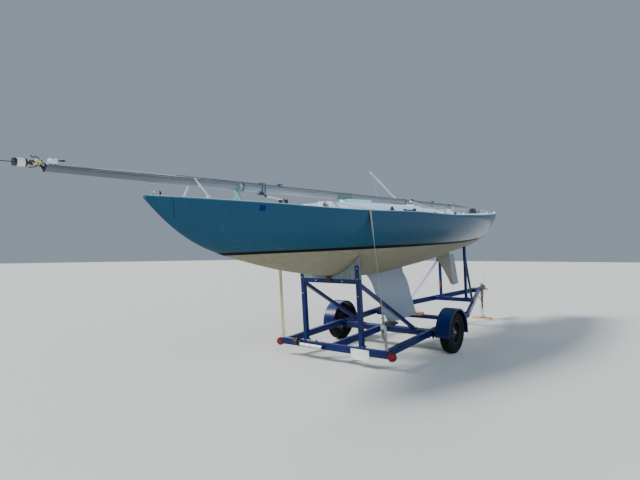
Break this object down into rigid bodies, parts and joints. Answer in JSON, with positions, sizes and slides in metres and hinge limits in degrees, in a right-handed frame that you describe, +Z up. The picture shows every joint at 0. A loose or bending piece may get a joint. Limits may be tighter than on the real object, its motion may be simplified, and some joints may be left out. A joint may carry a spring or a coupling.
{
  "type": "keelboat on a single-axle trailer",
  "caption": "Decked racing keelboat with fin keel and skeg-hung rudder, mast lashed along the deck, chocked on a single-axle steel road trailer with a jacked tongue.",
  "frame": {"origin": "on the ground, below the middle of the whole object's length and width", "axes": "+X towards the boat's bow, along the length; +Y to port; +Z up"},
  "size_m": [11.5918, 2.471, 3.1566],
  "materials": {
    "antenna_white": "moulded",
    "axle_steel": "painted steel",
    "block_wood": "sawn softwood",
    "bolster_ply": "painted plywood",
    "bottom_paint": "matt bottom paint, cream",
    "carpet": "bunk carpet",
    "coupler_steel": "zinc plated",
    "crutch_wood": "sawn",
    "deck_white": "gelcoat with non-slip",
    "fitting_steel": "stainless steel",
    "foam_mint": "closed-cell foam",
    "frame_blue": "enamel over steel",
    "keel_grey": "epoxy primer on cast metal",
    "lamp_red": "moulded lens",
    "liner_white": "gelcoat",
    "mast_alloy": "dull anodised",
    "pad_rubber": "rubber pad",
    "plate_white": "blank plate",
    "rim_grey": "painted steel",
    "rudder_grey": "matt",
    "skeg_cream": "matt",
    "tiller_wood": "varnished",
    "topside_blue": "gloss gelcoat, teal blue",
    "tyre_black": "worn"
  },
  "bodies": {
    "root": {"antenna": "antenna_white", "axle": "axle_steel", "bolster": "bolster_ply", "bolster_pad": "carpet", "brace_port": "frame_blue", "brace_starboard": "frame_blue", "centre_rail": "frame_blue", "coaming": "deck_white", "cockpit_liner": "liner_white", "coupler": "coupler_steel", "cradle_bar": "frame_blue", "crutch_bow": "crutch_wood", "crutch_stern": "crutch_wood", "cuddy": "deck_white", "deck": "deck_white", "drawbar_port": "frame_blue", "drawbar_starboard": "frame_blue", "fender_port": "frame_blue", "fender_starboard": "frame_blue", "foam_block": "foam_mint", "hull_bottom": "bottom_paint", "hull_topsides": "topside_blue", "jack_crank": "axle_steel", "jack_tube": "coupler_steel", "keel": "keel_grey", "keel_beam": "frame_blue", "keel_pad_aft": "block_wood", "keel_pad_front": "pad_rubber", "lamp_port": "lamp_red", "lamp_starboard": "lamp_red", "main_beam": "frame_blue", "mast": "mast_alloy", "masthead_light": "antenna_white", "plate": "plate_white", "post_port": "frame_blue", "post_starboard": "frame_blue", "rail_port": "frame_blue", "rail_starboard": "frame_blue", "rear_beam": "frame_blue", "skeg": "skeg_cream", "spreader": "mast_alloy", "spring_port": "axle_steel", "spring_starboard": "axle_steel", "stern_beam": "frame_blue", "stern_brace": "frame_blue", "stern_post_port": "frame_blue", "stern_post_starboard": "frame_blue", "tongue": "frame_blue", "winch_port": "fitting_steel", "winch_starboard": "fitting_steel"},
    "wheel_port": {"tyre_port": "tyre_black", "rim_port": "rim_grey"},
    "wheel_starboard": {"tyre_starboard": "tyre_black", "rim_starboard": "rim_grey"},
    "rudder": {"rudder": "rudder_grey", "tiller": "tiller_wood"},
    "jack": {"jack_leg": "coupler_steel", "foot_plank": "block_wood"}
  },
  "joints": [
    {"name": "wheel_port_spin", "type": "hinge", "parent": "root", "child": "wheel_port", "pos_m": [-1.05732, 1.1175, 0.335], "axis": [0, 1, 0], "continuous": true},
    {"name": "wheel_starboard_spin", "type": "hinge", "parent": "root", "child": "wheel_starboard", "pos_m": [-1.05732, -1.1175, 0.335], "axis": [0, 1, 0], "continuous": true},
    {"name": "rudder_swing", "type": "hinge", "parent": "root", "child": "rudder", "pos_m": [-3.77993, 0, 0.92508], "axis": [0.3034, 0, 0.9529], "range_deg": [0, 38]},
    {"name": "jack_slide", "type": "slide", "parent": "root", "child": "jack", "axis": [0.0811, 0, 0.9967], "range_m": [0, 0.25]}
  ]
}
